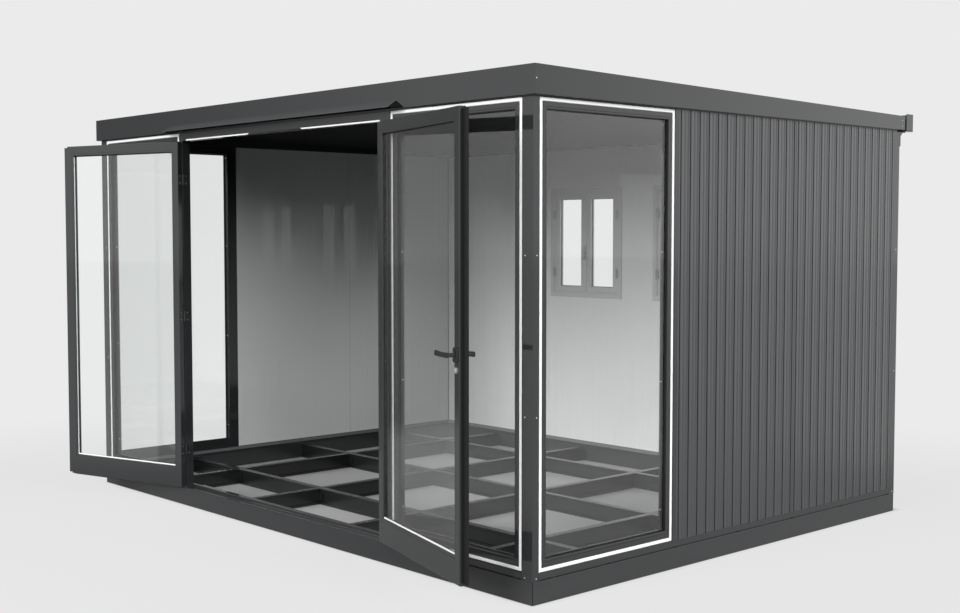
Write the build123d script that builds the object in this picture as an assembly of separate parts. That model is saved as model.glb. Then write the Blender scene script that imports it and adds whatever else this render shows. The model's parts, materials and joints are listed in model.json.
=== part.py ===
from build123d import *
import os

# Garden office pod: a flat-roofed, metal-framed room with glazed front corners and a pair of
# outward-opening glazed doors. Millimetres, X along the front, +Y into the room, +Z up.
# The origin is on the ground under the centre of the joist grid, where the middle joist rests,
# and the doors are modelled open.

# overall sizes
pod_width = 3920.0
pod_depth = 2956.0
pod_height = 2330.0

# base
base_height = 103.0
front_rail_depth = 120.0
rail_ledge = 2.0
joist_width = 45.0
joist_drop = 8.0
joist_pitch = 885.0
middle_joist_offset = 465.0

# walls
wall_thickness = 50.0
track_height = 35.0
track_lip = 8.0
post_lug_width = 18.0
front_post_side = 38.0
mullion_width = 26.0
jamb_width = 38.0
header_height = 47.0
side_panel_count = 2
rear_panel_count = 4

# tall fixed windows
window_width = 904.0
strip_width = 20.0
strip_depth = 12.0
window_side_face = 27.0
window_bottom_face = 36.0
window_top_face = 32.0
pane_thickness = 6.0
pane_recess = 14.0
glazing_clearance = 0.3

# rear windows
rear_window_width = 680.0
rear_window_height = 773.0
rear_window_sill = 1157.0
rear_window_centres = (-443.0, 515.0)
rear_frame_face = 40.0
rear_frame_proud_inside = 6.0
rear_frame_proud_outside = 4.0
sash_stile = 56.0
sash_rail = 37.0
sash_thickness = 42.0
sash_clearance = 0.5
sash_pane_thickness = 4.0

# roof
fascia_height = 129.0
front_overhang = 20.0
side_overhang = 30.0
fascia_tail = 9.0
roof_fall = 50.0
roof_upstand = 12.0
deck_thickness = 50.0
shadow_gap = 4.0
gutter_gap = 12.0
gutter_width = 70.0
gutter_base = 2194.0
gutter_height = 99.0
gutter_sheet = 3.0
gutter_lip_drop = 31.0
bracket_width = 25.0
bracket_thickness = 10.0
bracket_drop = 84.0
bracket_arm = 60.0
bracket_gusset = 22.0
bracket_count = 5

# drip guard over the doorway
guard_reach = 167.0
guard_ridge_setback = 57.0
guard_lip_setback = 62.0
guard_projection = 50.0
guard_rise = 34.0
guard_lift = 4.0

# header light strips
header_strip_height = 8.0
header_strip_depth = 6.0
header_strip_end = 40.0
header_strip_gap = 490.0

# threshold
threshold_thickness = 5.0
threshold_stop_height = 20.0
threshold_stop_width = 6.0
threshold_stop_clearance = 9.5

# door leaves
leaf_thickness = 34.0
leaf_recess = 1.5
leaf_bottom_clearance = 12.0
leaf_top_clearance = 5.0
leaf_stile = 52.0
leaf_top_rail = 60.0
leaf_bottom_rail = 124.0
meeting_gap = 40.0
meeting_lip = 28.0
stop_lip = 25.0
lip_clearance = 6.0
lip_end_setback = 8.0
open_angle = 163.5

# hinges
hinge_gap = 10.0
hinge_axis_proud = 1.5
hinge_heights = (336.0, 1125.0, 1926.0)
hinge_length = 60.0
knuckle_radius = 4.0
knuckle_relief = 5.0
knuckle_play = 0.5
hinge_pin_radius = 2.0
hinge_pin_play = 0.06
hinge_plate = 2.0
hinge_plate_depth = 30.0

# door furniture
handle_height = 1100.0
lock_drop = 60.0
plate_width = 30.0
plate_height = 76.0
plate_thickness = 6.0
spindle_radius = 6.0
spindle_play = 0.3
neck_radius = 9.0
lever_length = 122.0
lever_height = 17.0
lever_thickness = 11.0
lever_standoff = 34.0
lock_radius = 9.0
lock_projection = 7.0

# planes worked out from the sizes above
track_depth = wall_thickness + track_lip
rail_depth = track_depth + rail_ledge
side = pod_width / 2
front = -(pod_depth + front_rail_depth - rail_depth) / 2
rear = front + pod_depth
fascia_bottom = pod_height - fascia_height
wall_top = fascia_bottom - shadow_gap
wall_bottom = base_height + track_height
joist_height = base_height - joist_drop
joist_inner_front = front + front_rail_depth
joist_inner_rear = rear - rail_depth
front_post_face = wall_thickness + post_lug_width
window_inner = side - front_post_face - window_width
reveal = window_inner - jamb_width
side_window_rear = front + front_post_side + window_width
side_panel_start = side_window_rear + mullion_width
rear_post_front = rear - track_depth
rear_post_inner = side - wall_thickness
header_bottom = wall_top - header_height
fascia_end = rear + fascia_tail
gutter_front = fascia_end + gutter_gap
gutter_rear = gutter_front + gutter_width
gutter_top = gutter_base + gutter_height
hinge_x = reveal - hinge_gap / 2
hinge_y = front - hinge_axis_proud
leaf_bottom = base_height + leaf_bottom_clearance
leaf_top = header_bottom - leaf_top_clearance
leaf_start = hinge_gap / 2
leaf_end = hinge_x - meeting_gap / 2
leaf_outer = hinge_axis_proud + leaf_recess
leaf_inner = leaf_outer + leaf_thickness
lip_thickness = (leaf_thickness - lip_clearance) / 2


def block(x, y, z):
    # a box between the low and high value along each axis
    sizes = [high - low for low, high in (x, y, z)]
    middle = [(high + low) / 2 for low, high in (x, y, z)]
    return Pos(*middle) * Box(*sizes)


def plan_prism(points, low, high):
    # an outline in plan, extruded upwards
    outline = Polygon(*points, align=None)
    return Pos(0, 0, low) * extrude(outline, amount=high - low, dir=(0, 0, 1))


def side_prism(points, low, high):
    # an outline in Y and Z, extruded along X
    outline = Plane.YZ * Polygon(*points, align=None)
    return Pos(low, 0, 0) * extrude(outline, amount=high - low, dir=(1, 0, 0))


def both_sides(shape):
    return [shape, mirror(shape, about=Plane.YZ)]


def save(name, *shapes):
    solids = [solid for shape in shapes for solid in shape.solids()]
    export_step(solids[0] if len(solids) == 1 else Compound(solids), f"parts/{name}.step")


def roof_fall_at(y):
    # how far the roof has dropped at a place between its front and its rear edge
    return roof_fall * (y - front) / (fascia_end - front)


def deck_underside(y):
    return pod_height - roof_upstand - deck_thickness - roof_fall_at(y)


# base frame: mitred perimeter rails and an open grid of joists
def make_base():
    inner_side = side - rail_depth
    corners = {
        "front": [(-side, front), (side, front),
                  (inner_side, joist_inner_front), (-inner_side, joist_inner_front)],
        "rear": [(-side, rear), (side, rear),
                 (inner_side, joist_inner_rear), (-inner_side, joist_inner_rear)],
        "right": [(side, front), (side, rear),
                  (inner_side, joist_inner_rear), (inner_side, joist_inner_front)],
    }
    corners["left"] = [(-x, y) for x, y in corners["right"]]
    for name, outline in corners.items():
        save(f"base_{name}_rail", plan_prism(outline, 0, base_height))

    rows = [-joist_pitch, 0, joist_pitch]
    save("crosswise_joists", *[
        block((-inner_side, inner_side), (y - joist_width / 2, y + joist_width / 2), (0, joist_height))
        for y in rows])

    outer = middle_joist_offset + joist_pitch
    columns = [-outer, -middle_joist_offset, middle_joist_offset, outer]
    starts = [joist_inner_front] + [y + joist_width / 2 for y in rows]
    ends = [y - joist_width / 2 for y in rows] + [joist_inner_rear]
    save("lengthwise_joists", *[
        block((x - joist_width / 2, x + joist_width / 2), span, (0, joist_height))
        for x in columns for span in zip(starts, ends)])


# bottom tracks under the walls and windows, and the doorway's threshold
def make_tracks():
    height = (base_height, wall_bottom)
    save("front_tracks", *both_sides(
        block((window_inner, window_inner + window_width), (front, front + track_depth), height)))
    save("side_tracks", *both_sides(
        block((side - track_depth, side), (front + front_post_side, rear_post_front), height)))
    save("rear_track", block((-rear_post_inner, rear_post_inner), (rear - track_depth, rear), height))

    plate_top = base_height + threshold_thickness
    stop_front = hinge_y + leaf_inner + threshold_stop_clearance
    plate = block((-reveal, reveal), (front, joist_inner_front), (base_height, plate_top))
    stop = block((-reveal, reveal), (stop_front, stop_front + threshold_stop_width),
                 (plate_top, base_height + threshold_stop_height))
    save("threshold", plate + stop)


# corner posts, mullions and the doorway's frame
def make_posts():
    height = (base_height, wall_top)
    post_inner = side - front_post_face
    face = block((post_inner, side), (front, front + front_post_side), height)
    lug_depth = (front + front_post_side, front + wall_thickness)
    foot = block((post_inner, side - track_depth), lug_depth, (base_height, wall_bottom))
    lug = block((post_inner, rear_post_inner), lug_depth, (wall_bottom, wall_top))
    right, left = both_sides(face + foot + lug)
    save("front_right_post", right)
    save("front_left_post", left)
    right, left = both_sides(block((rear_post_inner, side), (rear_post_front, rear), height))
    save("rear_right_post", right)
    save("rear_left_post", left)
    save("side_mullions", *both_sides(
        block((rear_post_inner, side), (side_window_rear, side_panel_start), (wall_bottom, wall_top))))
    save("door_jambs", *both_sides(
        block((reveal, window_inner), (front, front + wall_thickness), height)))

    header = block((-reveal, reveal), (front, front + wall_thickness), (header_bottom, wall_top))
    for rebate in header_strip_spaces():
        header -= rebate
    save("door_header", header)


def header_strip_spaces():
    # the rebates along the header's lower front edge that hold its two light strips
    return both_sides(block(
        (header_strip_gap / 2, reveal - header_strip_end), (front, front + header_strip_depth),
        (header_bottom, header_bottom + header_strip_height)))


# a tall window in its own frame: X across, Y inwards, from its outer bottom corner
def window_ring(border_side, border_bottom, border_top, depth_from, depth_to):
    height = wall_top - wall_bottom
    outer = block((0, window_width), (depth_from, depth_to), (0, height))
    hole = block((border_side, window_width - border_side), (depth_from, depth_to),
                 (border_bottom, height - border_top))
    return outer - hole


def make_tall_windows():
    height = wall_top - wall_bottom
    edges = (strip_width + window_side_face, strip_width + window_bottom_face,
             strip_width + window_top_face)
    frame = window_ring(*edges, 0, wall_thickness)
    frame -= window_ring(strip_width, strip_width, strip_width, 0, strip_depth)
    strip = window_ring(strip_width - glazing_clearance, strip_width - glazing_clearance,
                        strip_width - glazing_clearance, 0, strip_depth - glazing_clearance)
    pane = block((edges[0] + glazing_clearance, window_width - edges[0] - glazing_clearance),
                 (pane_recess, pane_recess + pane_thickness),
                 (edges[1] + glazing_clearance, height - edges[2] - glazing_clearance))
    places = {
        "front_right_window": Pos(window_inner, front, wall_bottom),
        "front_left_window": Pos(-window_inner - window_width, front, wall_bottom),
        "right_window": Pos(side, front + front_post_side, wall_bottom) * Rot(0, 0, 90),
        "left_window": Pos(-side, side_window_rear, wall_bottom) * Rot(0, 0, -90),
    }
    for name, place in places.items():
        save(f"{name}_frame", place * frame)
    save("tall_window_glass", *[place * pane for place in places.values()])
    save("light_strips", *[place * strip for place in places.values()], *header_strip_spaces())


# insulated wall panels, with the two rear windows cut through
def make_panels():
    height = (wall_bottom, wall_top)
    panel_depth = (rear_post_front - side_panel_start) / side_panel_count
    for index in range(side_panel_count):
        start = side_panel_start + index * panel_depth
        right, left = both_sides(
            block((rear_post_inner, side), (start, start + panel_depth), height))
        save(f"right_panel_{index + 1}", right)
        save(f"left_panel_{index + 1}", left)

    panel_width = 2 * rear_post_inner / rear_panel_count
    for index in range(rear_panel_count):
        start = -rear_post_inner + index * panel_width
        panel = block((start, start + panel_width), (rear - wall_thickness, rear), height)
        for centre in rear_window_centres:
            if abs(centre - start - panel_width / 2) < (panel_width + rear_window_width) / 2:
                panel -= rear_window_block(centre, rear_window_width, rear_window_height,
                                           rear - wall_thickness, rear)
        save(f"rear_panel_{index + 1}", panel)


def rear_window_block(centre, width, height, near, far):
    # a block centred on a rear window
    middle = rear_window_sill + rear_window_height / 2
    return block((centre - width / 2, centre + width / 2), (near, far),
                 (middle - height / 2, middle + height / 2))


def make_rear_windows():
    frames = []
    sashes = []
    panes = []
    near = rear - wall_thickness - rear_frame_proud_inside
    far = rear + rear_frame_proud_outside
    sash_near = rear - wall_thickness
    sash_far = sash_near + sash_thickness
    pane_near = (sash_near + sash_far - sash_pane_thickness) / 2
    light_width = rear_window_width - 2 * rear_frame_face
    light_height = rear_window_height - 2 * rear_frame_face
    sash_width = (light_width - 3 * sash_clearance) / 2
    sash_height = light_height - 2 * sash_clearance
    hole = (sash_width - 2 * sash_stile, sash_height - 2 * sash_rail)
    for centre in rear_window_centres:
        frame = rear_window_block(centre, rear_window_width - 2 * glazing_clearance,
                                  rear_window_height - 2 * glazing_clearance, near, far)
        frame -= rear_window_block(centre, light_width, light_height, near, far)
        frames.append(frame)
        for hand in (-1, 1):
            middle = centre + hand * (sash_width + sash_clearance) / 2
            sash = rear_window_block(middle, sash_width, sash_height, sash_near, sash_far)
            sashes.append(sash - rear_window_block(middle, *hole, sash_near, sash_far))
            panes.append(rear_window_block(
                middle, hole[0] - 2 * glazing_clearance, hole[1] - 2 * glazing_clearance,
                pane_near, pane_near + sash_pane_thickness))
    save("rear_window_frames", *frames)
    save("rear_window_sashes", *sashes)
    save("rear_window_glass", *panes)


# top rails, roof deck, fascia boards and the gutter behind
def make_roof():
    def under_deck(start, end):
        return [(start, wall_top), (end, wall_top), (end, deck_underside(end)),
                (start, deck_underside(start))]

    inner_front = front + wall_thickness
    inner_rear = rear - wall_thickness
    save("front_top_rail", side_prism(under_deck(front, inner_front), -side, side))
    save("rear_top_rail", side_prism(under_deck(inner_rear, rear), -side, side))
    save("side_top_rails", *both_sides(
        side_prism(under_deck(inner_front, inner_rear), rear_post_inner, side)))

    deck = [(front, deck_underside(front)), (gutter_front, deck_underside(gutter_front)),
            (gutter_front, deck_underside(gutter_front) + deck_thickness),
            (front, deck_underside(front) + deck_thickness)]
    save("roof_deck", side_prism(deck, -side, side))

    eaves = side + side_overhang
    brow = front - front_overhang
    save("front_fascia", plan_prism([(-eaves, brow), (eaves, brow), (side, front), (-side, front)],
                                    fascia_bottom, pod_height))
    board = side_prism([(brow, fascia_bottom), (fascia_end, fascia_bottom),
                        (fascia_end, pod_height - roof_fall), (front, pod_height),
                        (brow, pod_height)], side, eaves)
    mitre = plan_prism([(eaves, brow), (eaves, fascia_end), (side, fascia_end), (side, front)],
                       fascia_bottom, pod_height)
    right, left = both_sides(board & mitre)
    save("right_fascia", right)
    save("left_fascia", left)


def make_gutter():
    eaves = side + side_overhang
    trough = block((-eaves, eaves), (gutter_front, gutter_rear), (gutter_base, gutter_top))
    trough -= block((gutter_sheet - eaves, eaves - gutter_sheet),
                    (gutter_front + gutter_sheet, gutter_rear - gutter_sheet),
                    (gutter_base + gutter_sheet, gutter_top))
    trough -= block((gutter_sheet - eaves, eaves - gutter_sheet),
                    (gutter_front, gutter_front + gutter_sheet),
                    (gutter_top - gutter_lip_drop, gutter_top))
    save("gutter", trough)

    bottom = gutter_base - bracket_drop
    arm_bottom = gutter_base - bracket_thickness / 2
    strap = rear + bracket_thickness
    outline = [(rear, bottom), (strap, bottom), (strap, arm_bottom - bracket_gusset),
               (strap + bracket_gusset, arm_bottom), (rear + bracket_arm, arm_bottom),
               (rear + bracket_arm, gutter_base), (rear, gutter_base)]
    spacing = (pod_width - bracket_width) / (bracket_count - 1)
    starts = [index * spacing - side for index in range(bracket_count)]
    save("gutter_brackets", *[side_prism(outline, x, x + bracket_width) for x in starts])


# folded sheet guard that throws rain clear of the doorway
def make_drip_guard():
    wall = front - front_overhang
    base = fascia_bottom + guard_lift
    foot_half = reveal + guard_reach
    lip_half = foot_half - guard_lip_setback
    ridge_half = foot_half - guard_ridge_setback
    foot = [(-foot_half, wall, base), (foot_half, wall, base),
            (lip_half, wall - guard_projection, base), (-lip_half, wall - guard_projection, base)]
    ridge = [(-ridge_half, wall, base + guard_rise), (ridge_half, wall, base + guard_rise)]
    faces = [foot, [foot[0], foot[1], ridge[1], ridge[0]], [foot[3], foot[2], ridge[1], ridge[0]],
             [foot[1], foot[2], ridge[1]], [foot[0], foot[3], ridge[0]]]
    shell = Shell([Face(Wire.make_polygon([Vector(*p) for p in face])) for face in faces])
    save("drip_guard", Solid(shell))


# a door leaf lies in its own frame: X from the hinge axis towards the free edge, Y inwards
def leaf_frame(lip):
    body = block((leaf_start, leaf_end), (leaf_outer, leaf_inner), (leaf_bottom, leaf_top))
    body -= block((leaf_start + leaf_stile, leaf_end - leaf_stile), (leaf_outer, leaf_inner),
                  (leaf_bottom + leaf_bottom_rail, leaf_top - leaf_top_rail))
    return body + lip


def leaf_pane():
    middle = (leaf_outer + leaf_inner) / 2
    return block((leaf_start + leaf_stile + glazing_clearance,
                  leaf_end - leaf_stile - glazing_clearance),
                 (middle - pane_thickness / 2, middle + pane_thickness / 2),
                 (leaf_bottom + leaf_bottom_rail + glazing_clearance,
                  leaf_top - leaf_top_rail - glazing_clearance))


def upright(radius, low, high, x=0.0, y=0.0):
    return Pos(x, y, (low + high) / 2) * Cylinder(radius, high - low)


def hinge_knuckles(height):
    # the low and high of a hinge's bottom, middle and top knuckles
    third = hinge_length / 3
    low = height - hinge_length / 2
    return [(low + index * third, low + (index + 1) * third) for index in range(3)]


def jamb_hinge(height):
    # the jamb's half, seen from the hinge axis with the jamb towards -X
    bottom, middle, top = hinge_knuckles(height)
    plate = block((-leaf_start, hinge_plate - leaf_start),
                  (hinge_axis_proud, hinge_axis_proud + hinge_plate_depth), (bottom[0], top[1]))
    half = plate
    for low, high in (bottom, top):
        half += upright(knuckle_radius, low, high)
        half += block((-leaf_start, 0), (hinge_axis_proud, knuckle_radius), (low, high))
    half -= upright(knuckle_relief, middle[0] - knuckle_play, middle[1] + knuckle_play)
    return half + upright(hinge_pin_radius, bottom[0], top[1])


def leaf_hinge(height):
    # the leaf's half: a plate on the leaf's edge and the middle knuckle
    bottom, middle, top = hinge_knuckles(height)
    plate = block((leaf_start - hinge_plate, leaf_start),
                  (leaf_outer, leaf_outer + hinge_plate_depth), (bottom[0], top[1]))
    for low, high in (bottom, top):
        plate -= upright(knuckle_relief, low - knuckle_play, high + knuckle_play)
    knuckle = upright(knuckle_radius, middle[0] + knuckle_play, middle[1] - knuckle_play)
    web = block((0, leaf_start), (leaf_outer - hinge_plate, leaf_outer + hinge_plate),
                (middle[0] + knuckle_play, middle[1] - knuckle_play))
    web -= block((leaf_start - hinge_plate, leaf_start), (leaf_outer - hinge_plate, leaf_outer),
                 middle)
    return plate + knuckle + web - upright(hinge_pin_radius + hinge_pin_play, *middle)


def across(radius, near, far, x, z):
    # a round bar through the leaf's thickness
    return Pos(x, (near + far) / 2, z) * Rot(90, 0, 0) * Cylinder(radius, far - near)


def make_lever(x):
    reach = plate_thickness + lever_standoff
    near = leaf_outer - reach
    far = leaf_inner + reach
    lever = across(spindle_radius, near, far, x, handle_height)
    for start, end in ((near, leaf_outer - plate_thickness - 1), (leaf_inner + plate_thickness + 1, far)):
        lever += across(neck_radius, start, end, x, handle_height)
    for face in (near - lever_thickness, far):
        arm = block((x - lever_length, x + neck_radius), (face, face + lever_thickness),
                    (handle_height - lever_height / 2, handle_height + lever_height / 2))
        lever += fillet(arm.edges().filter_by(Axis.Y), lever_height / 3)
    return lever


def handle_plates(x):
    plates = []
    for near in (leaf_outer - plate_thickness, leaf_inner):
        plate = block((x - plate_width / 2, x + plate_width / 2), (near, near + plate_thickness),
                      (handle_height - plate_height / 2, handle_height + plate_height / 2))
        hole = across(spindle_radius + spindle_play, near, near + plate_thickness, x, handle_height)
        plates.append(plate - hole)
    return plates


def lock_cylinder(x):
    return across(lock_radius, leaf_outer - lock_projection, leaf_inner + lock_projection,
                  x, handle_height - lock_drop)


# where the leaves hang, swung to their open places
def left_open():
    return Pos(-hinge_x, hinge_y, 0) * Rot(0, 0, -open_angle)


def right_open(shape):
    return Pos(hinge_x, hinge_y, 0) * Rot(0, 0, open_angle) * mirror(shape, about=Plane.YZ)


def make_doors():
    heights = (leaf_bottom + lip_end_setback, leaf_top - lip_end_setback)
    stop = block((leaf_end, leaf_end + stop_lip), (leaf_inner - lip_thickness, leaf_inner), heights)
    cover = block((leaf_end, leaf_end + meeting_lip), (leaf_outer, leaf_outer + lip_thickness), heights)
    handle_x = leaf_end - leaf_stile / 2

    place = left_open()
    save("left_door_frame", place * leaf_frame(stop))
    save("left_door_glass", place * leaf_pane())
    save("left_door_hinges", *[place * leaf_hinge(height) for height in hinge_heights])

    frame = leaf_frame(cover)
    frame -= across(spindle_radius + spindle_play, leaf_outer, leaf_inner, handle_x, handle_height)
    frame -= across(lock_radius, leaf_outer, leaf_inner, handle_x, handle_height - lock_drop)
    save("right_door_frame", right_open(frame))
    save("right_door_glass", right_open(leaf_pane()))
    save("right_door_hinges", *[right_open(leaf_hinge(height)) for height in hinge_heights])
    save("handle_plates", *[right_open(plate) for plate in handle_plates(handle_x)])
    save("lock_cylinder", right_open(lock_cylinder(handle_x)))
    save("door_lever", right_open(make_lever(handle_x)))

    fixed = []
    for height in hinge_heights:
        half = Pos(-hinge_x, hinge_y, 0) * jamb_hinge(height)
        fixed += both_sides(half)
    save("jamb_hinges", *fixed)


os.makedirs("parts", exist_ok=True)
make_base()
make_tracks()
make_posts()
make_tall_windows()
make_panels()
make_rear_windows()
make_roof()
make_gutter()
make_drip_guard()
make_doors()
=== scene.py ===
import json
import math

import bmesh
import bpy
from mathutils import Matrix, Vector


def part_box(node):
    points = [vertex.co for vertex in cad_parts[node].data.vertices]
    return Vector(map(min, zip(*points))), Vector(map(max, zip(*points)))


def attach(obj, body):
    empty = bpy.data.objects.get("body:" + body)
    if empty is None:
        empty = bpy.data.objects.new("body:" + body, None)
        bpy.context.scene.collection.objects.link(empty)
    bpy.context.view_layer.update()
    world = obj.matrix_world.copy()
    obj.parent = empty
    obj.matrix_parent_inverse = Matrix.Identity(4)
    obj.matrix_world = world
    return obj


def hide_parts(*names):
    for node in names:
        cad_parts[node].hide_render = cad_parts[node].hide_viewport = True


# Garden office pod: the looks of its painted frame, ribbed panels, glazing and fittings.
# Metres, X along the front, +Y into the room, +Z up, the same frame as the construction.

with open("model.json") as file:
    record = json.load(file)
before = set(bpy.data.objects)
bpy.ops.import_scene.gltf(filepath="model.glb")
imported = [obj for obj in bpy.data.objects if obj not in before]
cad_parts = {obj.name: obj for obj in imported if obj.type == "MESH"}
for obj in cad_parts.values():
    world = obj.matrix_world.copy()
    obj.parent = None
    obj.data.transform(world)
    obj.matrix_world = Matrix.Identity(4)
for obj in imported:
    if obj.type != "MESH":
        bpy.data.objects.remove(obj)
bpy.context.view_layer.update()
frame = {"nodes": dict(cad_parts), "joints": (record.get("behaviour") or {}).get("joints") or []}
nodes = frame["nodes"]
joints = {joint["name"]: joint for joint in frame["joints"]}


bpy.context.scene.view_settings.view_transform = "Standard"
view = {
    "place": (6.0057, -5.5227, 1.6161),     # metres, at a standing person's eye
    "tilt": 86.829, "turn": 47.498,         # degrees up from straight down, and round from +Y
    "lens": 50.055, "clipEnd": 200,
}


def makeCamera():
    lens = bpy.data.cameras.new("camera")
    lens.lens = view["lens"]
    lens.clip_end = view["clipEnd"]
    camera = bpy.data.objects.new("camera", lens)
    camera.location = view["place"]
    camera.rotation_euler = (math.radians(view["tilt"]), 0, math.radians(view["turn"]))
    bpy.context.scene.collection.objects.link(camera)
    bpy.context.scene.camera = camera


makeCamera()
print("camera placed")


class Signal:
    # a socket that can be used in sums like a number
    def __init__(self, finish, socket):
        self.finish = finish
        self.socket = socket

    def maths(self, operation, first, second):
        return self.finish.node("ShaderNodeMath", {"operation": operation}, {0: first, 1: second})

    def __add__(self, other):
        return self.maths("ADD", self, other)

    def __radd__(self, other):
        return self.maths("ADD", other, self)

    def __sub__(self, other):
        return self.maths("SUBTRACT", self, other)

    def __rsub__(self, other):
        return self.maths("SUBTRACT", other, self)

    def __mul__(self, other):
        return self.maths("MULTIPLY", self, other)

    def __rmul__(self, other):
        return self.maths("MULTIPLY", other, self)

    def __pow__(self, other):
        return self.maths("POWER", self, other)

    def __rpow__(self, other):
        return self.maths("POWER", other, self)


class Finish:
    # one material, or the world's light, and the nodes that make it
    def __init__(self, name, owner=None):
        self.owner = owner or bpy.data.materials.new(name)
        self.owner.use_nodes = True
        self.tree = self.owner.node_tree
        self.tree.nodes.clear()

    def node(self, kind, settings=None, inputs=None, output=0):
        made = self.tree.nodes.new(kind)
        for key, value in (settings or {}).items():
            if key == "stops":
                for spare in range(len(value) - len(made.color_ramp.elements)):
                    made.color_ramp.elements.new(0.5)
                for element, (place, colour) in zip(made.color_ramp.elements, value):
                    element.position = place
                    element.color = colour
            else:
                setattr(made, key, value)
        for key, value in (inputs or {}).items():
            if isinstance(value, Signal):
                self.tree.links.new(value.socket, made.inputs[key])
            else:
                made.inputs[key].default_value = value
        return made if output is None else Signal(self, made.outputs[output])

    def place(self):
        return self.node("ShaderNodeTexCoord", output="Object")

    def noise(self, scale, detail, stretch=(1, 1, 1)):
        where = self.node("ShaderNodeVectorMath", {"operation": "MULTIPLY"},
                          {0: self.place(), 1: stretch})
        return self.node("ShaderNodeTexNoise", {}, {"Vector": where, "Scale": scale, "Detail": detail})

    def blend(self, share, first, second):
        return self.node("ShaderNodeMix", {"data_type": "RGBA"}, {0: share, 6: first, 7: second}, 2)

    def ray(self, kind):
        return self.node("ShaderNodeLightPath", output=kind)

    def ramp(self, value, start, end, low, high):
        # a soft step from low to high while the value goes from start to end
        return self.node("ShaderNodeMapRange", {"interpolation_type": "SMOOTHSTEP"},
                         {0: value, 1: start, 2: end, 3: low, 4: high})

    def bump(self, height, distance):
        return self.node("ShaderNodeBump", {}, {"Height": height, "Distance": distance})

    def glow(self, colour, strength):
        return self.node("ShaderNodeEmission", {}, {"Color": colour, "Strength": strength})

    def matt(self, grey):
        return self.node("ShaderNodeBsdfDiffuse", {}, {"Color": tone(grey)})

    def mixShaders(self, share, first, second):
        return self.node("ShaderNodeMixShader", {}, {0: share, 1: first, 2: second})

    def surface(self, inputs):
        return self.node("ShaderNodeBsdfPrincipled", {}, inputs)

    def finish(self, shader):
        isWorld = isinstance(self.owner, bpy.types.World)
        self.node("ShaderNodeOutputWorld" if isWorld else "ShaderNodeOutputMaterial", {},
                  {"Surface": shader}, None)
        return self.owner


def tone(grey, tint=(1.0, 1.0, 1.0), strength=1.0):
    return tuple(grey * part * strength for part in tint) + (1.0,)


coolGrey, plainGrey = (0.95, 1.0, 1.05), (0.99, 1.0, 1.0)

powderCoat = {
    "cloudScale": 1.7, "speckScale": 420, "mottle": 0.06,      # mottle: how much the shade varies
    "dustScale": 9, "dustHeight": 0.16, "dustGrey": 0.22, "dustTint": (1.0, 0.97, 0.92),
    "cloudRough": 0.05, "speckRough": 0.02, "dustRough": 0.3,
}


def paintedMetal(name, grey, gloss, tint=coolGrey, peel=0.00002, shine=0.5, dusty=0.05):
    # powder coat: faint cloudy shade, orange peel, and a little road dust low down
    p = powderCoat
    coat = Finish(name)
    cloud = coat.noise(p["cloudScale"], 4)
    speck = coat.noise(p["speckScale"], 2)
    colour = coat.blend(cloud, tone(grey, tint, 1 - p["mottle"]), tone(grey, tint, 1 + p["mottle"]))
    dust = coat.noise(p["dustScale"], 5)
    height = coat.node("ShaderNodeSeparateXYZ", {}, {0: coat.place()}, 2)
    low = coat.ramp(height, 0.0, p["dustHeight"], dusty, 0.0)
    colour = coat.blend(low * dust, colour, tone(p["dustGrey"], p["dustTint"]))
    rough = gloss + (cloud - 0.5) * p["cloudRough"] + (speck - 0.5) * p["speckRough"] + low * p["dustRough"]
    return coat.finish(coat.surface({
        "Base Color": colour, "Roughness": rough, "Specular IOR Level": shine,
        "Normal": coat.bump(speck, peel)}))


panelLining = {"dark": 0.70, "light": 0.76, "cloudScale": 2.2, "cloudShare": 0.6,
               "rollScale": 7, "rollShare": 0.4, "rollStretch": (1, 1, 0.05),
               "roughness": 0.022, "rollRough": 0.008, "shine": 0.36, "wave": 0.00002}


def panelInside(name):
    # light glossy lining of the wall panels, with a faint cloudy shade and long marks of the rolling
    p = panelLining
    coat = Finish(name)
    cloud = coat.noise(p["cloudScale"], 3)
    roll = coat.noise(p["rollScale"], 2, p["rollStretch"])
    share = cloud * p["cloudShare"] + roll * p["rollShare"]
    colour = coat.blend(share, tone(p["dark"], plainGrey), tone(p["light"], plainGrey))
    return coat.finish(coat.surface({
        "Base Color": colour, "Roughness": p["roughness"] + (roll - 0.5) * p["rollRough"],
        "Specular IOR Level": p["shine"], "Normal": coat.bump(roll, p["wave"])}))


floatGlass = {"mirror": 0.046, "slantPower": 5, "slantMirror": 0.9, "streakScale": 3, "streak": 0.01,
              "tint": (0.990, 0.996, 0.993, 1), "roughness": 0.02}


def clearGlass(name):
    # see-through, faintly green, and mirroring more at a slant
    g = floatGlass
    glass = Finish(name)
    slant = glass.node("ShaderNodeLayerWeight", {}, {"Blend": 0.5}, "Facing")
    streak = glass.noise(g["streakScale"], 3)
    mirror = g["mirror"] + (slant ** g["slantPower"]) * g["slantMirror"] + (streak - 0.5) * g["streak"]
    through = glass.node("ShaderNodeBsdfTransparent", {}, {"Color": g["tint"]})
    shine = glass.node("ShaderNodeBsdfGlossy", {}, {"Color": tone(1), "Roughness": g["roughness"]})
    return glass.finish(glass.mixShaders(mirror, through, shine))


opalStrip = {"scale": 25, "dark": 0.92, "light": 0.96, "roughness": 0.35, "varies": 0.1,
             "glowDark": 0.95, "glow": 0.03}


def lightDiffuser(name):
    # opal white strip, glowing very faintly; on the door leaves' lining the same glow is painted light
    s = opalStrip
    opal = Finish(name)
    cloud = opal.noise(s["scale"], 2)
    return opal.finish(opal.surface({
        "Base Color": opal.blend(cloud, tone(s["dark"]), tone(s["light"])),
        "Roughness": s["roughness"] + (cloud - 0.5) * s["varies"],
        "Emission Color": opal.blend(cloud, tone(s["glowDark"]), tone(1.0)), "Emission Strength": s["glow"]}))


sealRubber = {"grain": 300, "dark": 0.005, "light": 0.010, "shine": 0.25, "roughness": 0.55, "varies": 0.2,
              "wave": 0.0002}


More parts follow.
